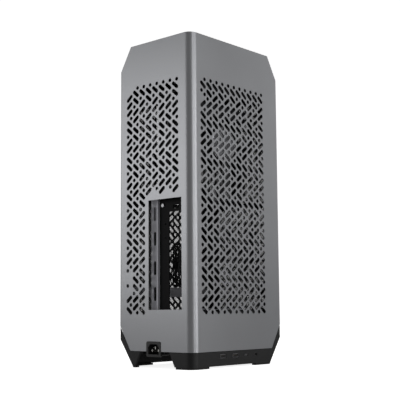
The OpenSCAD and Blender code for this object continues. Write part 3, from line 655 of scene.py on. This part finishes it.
# ---------- leads ----------
# Sleeved leads rise from the supply to the board and to the card, held in line by combs. The
# leads that nothing uses are folded up in the cable bay with a strap round their middle.
braid = surface("braid", (0.016, 0.016, 0.017), 0.6, grain=0.14, grain_mm=0.7)
dress(braid, "power_cables")

combs = bmesh.new()
for low, high in (((-39.6, 66.0, 150), (-25.2, 75.4, 153)),
                  ((-39.6, 66.0, 236), (-25.2, 75.4, 239)),
                  ((20.4, 54.6, 170), (34.8, 59.4, 173)),
                  ((20.4, 54.6, 248), (34.8, 59.4, 251))):
    form_box(combs, Vector(low) * MM, Vector(high) * MM, 0.8 * MM)
finish_piece("lead_combs", combs, moulded_black, "core")

hank_low, hank_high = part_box("cable_hank")
hank_middle = (hank_low + hank_high) / 2
half = (hank_high - hank_low) / 2
wire_radius = 0.8 * MM
loops = []
for index in range(11):
    deep = draw.uniform(-0.8, 0.8) * half.y
    wide = draw.uniform(0.45, 0.84) * half.x
    tall = draw.uniform(0.62, 0.93) * half.z
    lean = draw.uniform(-0.16, 0.02)
    phase = draw.uniform(0, 2 * math.pi)
    loop = []
    for step in range(22):
        turn = 2 * math.pi * step / 22 + phase
        z = tall * math.cos(turn)
        pinch = 1 - 0.55 * math.exp(-((z / (9 * MM)) ** 2))
        x = wide * math.sin(turn) * pinch + lean * z
        x = max(min(x, half.x - 2 * wire_radius), 2 * wire_radius - half.x)
        y = deep * pinch + 1.2 * MM * math.sin(3 * turn)
        y = max(min(y, half.y - 2 * wire_radius), 2 * wire_radius - half.y)
        loop.append(hank_middle + Vector((x, y, z)))
    loops.append(loop)
spare_leads = wire("spare_leads", loops, wire_radius, braid, "core", "cable_jacket", closed=True)
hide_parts("cable_hank")

strap = bmesh.new()
outline = []
for step in range(40):
    turn = 2 * math.pi * step / 40
    corner = 4.0
    size = (abs(math.cos(turn)) ** corner + abs(math.sin(turn)) ** corner) ** (-1 / corner)
    outline.append(Vector((math.cos(turn), math.sin(turn), 0)) * size)
rings = []
for inset, height in ((1.3, -4), (0, -3.7), (0, 3.7), (1.3, 4)):
    reach = Vector((0.46 * half.x - inset * MM, 0.55 * half.y - inset * MM, 0))
    rings.append([strap.verts.new(hank_middle + Vector((p.x * reach.x, p.y * reach.y, height * MM)))
                  for p in outline])
rings.append(rings[0])
for ring, above in zip(rings, rings[1:]):
    for i in range(40):
        after = (i + 1) % 40
        strap.faces.new((ring[i], ring[after], above[after], above[i]))
strap_weave = surface("strap_weave", (0.012, 0.012, 0.013), 0.8, grain=0.2, grain_mm=0.6)
finish_piece("hank_strap", strap, strap_weave, "core")

# ---------- sockets and button ----------
# The sockets are soldered to a small board behind the side skirt, with black tongues and gilt
# contacts. The button in the front skirt is a turned aluminium cap over a switch.
button_metal = surface(
    "button_metal", (0.36, 0.36, 0.38), 0.3, metal=0.9, grain=0.006, grain_mm=0.3
)
gilt = surface("gilt", (0.75, 0.55, 0.22), 0.25, metal=1.0, grain=0.004, grain_mm=0.3)
dress(button_metal, "power_button")
port_low, port_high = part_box("usb_sockets")
contacts, tongues = bmesh.new(), bmesh.new()
for y in (port_low.y + 6.6 * MM, port_high.y - 6.6 * MM):
    z = port_low.z + 3.4 * MM
    form_box(tongues, (port_low.x + 1.2 * MM, y - 5.4 * MM, z + 0.1 * MM),
             (port_low.x + 9 * MM, y + 5.4 * MM, z + 1.9 * MM), 0.2 * MM)
    for step in range(4):
        lane = y + (step - 1.5) * 2.4 * MM
        form_box(contacts, (port_low.x + 1.8 * MM, lane - 0.5 * MM, z - 0.05 * MM),
                 (port_low.x + 8 * MM, lane + 0.5 * MM, z + 0.12 * MM))
finish_piece("port_tongues", tongues, moulded_black, "core")
finish_piece("port_contacts", contacts, gilt, "core")

# ---------- shells and cover ----------
# Two bent aluminium sheets, punched with a basket weave of slots and dots, then bead-blasted
# and anodised a mid grey. They drop over the frame from above; the black lid closes the top.
shell_metal = surface("shell_metal", (0.36, 0.365, 0.38), 0.35, metal=0.75, mottle=0.02,
                      mottle_mm=60, grain=0.010, grain_mm=0.35)


def paint_hole_wall_shade(material, shade_tone):
    """Paints shade onto the walls of the punched holes, which face along the sheet: a darker colour
    that stands in for the shadow inside the holes.
    """
    tree = material.node_tree
    shader = tree.nodes["Principled BSDF"]
    plain = shader.inputs["Base Color"].links[0].from_socket
    place = tree.nodes.new("ShaderNodeTexCoord")

    def maths(operation, first, second):
        made = tree.nodes.new("ShaderNodeMath")
        made.operation = operation
        for socket, value in zip(made.inputs, (first, second)):
            if isinstance(value, float):
                socket.default_value = value
            else:
                tree.links.new(value, socket)
        return made.outputs["Value"]

    spread = {}
    for source in ("Object", "Normal"):
        split = tree.nodes.new("ShaderNodeSeparateXYZ")
        tree.links.new(place.outputs[source], split.inputs["Vector"])
        spread[source] = [maths("ABSOLUTE", split.outputs[axis], 0.0) for axis in "XY"]
    edges = []
    for axis, flat, reach in ((0, 78.2, 96.0), (1, 111.7, 62.0)):
        on_face = maths("GREATER_THAN", spread["Object"][axis], flat * MM)
        clear = maths("LESS_THAN", spread["Object"][1 - axis], reach * MM)
        sideways = maths("LESS_THAN", spread["Normal"][axis], 0.5)
        edges.append(maths("MULTIPLY", maths("MULTIPLY", on_face, clear), sideways))
    # The mask of the painted shade: the hole walls on the two punched faces.
    edge = maths("MAXIMUM", *edges)
    tint = tree.nodes.new("ShaderNodeMix")
    tint.data_type = "RGBA"
    tint.inputs["B"].default_value = (*shade_tone, 1)
    tree.links.new(edge, tint.inputs["Factor"])
    tree.links.new(plain, tint.inputs["A"])
    tree.links.new(tint.outputs["Result"], shader.inputs["Base Color"])
    return material


# Painted shade: the hole walls of both shells are coloured dark in place of the shadow inside the
# holes.
paint_hole_wall_shade(shell_metal, (0.05, 0.05, 0.055))
dress(shell_metal, "rear_shell", "front_shell")
dress(powder_black, "top_cover")

# ---------- screws ----------
# Pan-head steel machine screws with cross recesses hold the board, the brace and the plate.
dress(rivet_steel, "frame_screws")
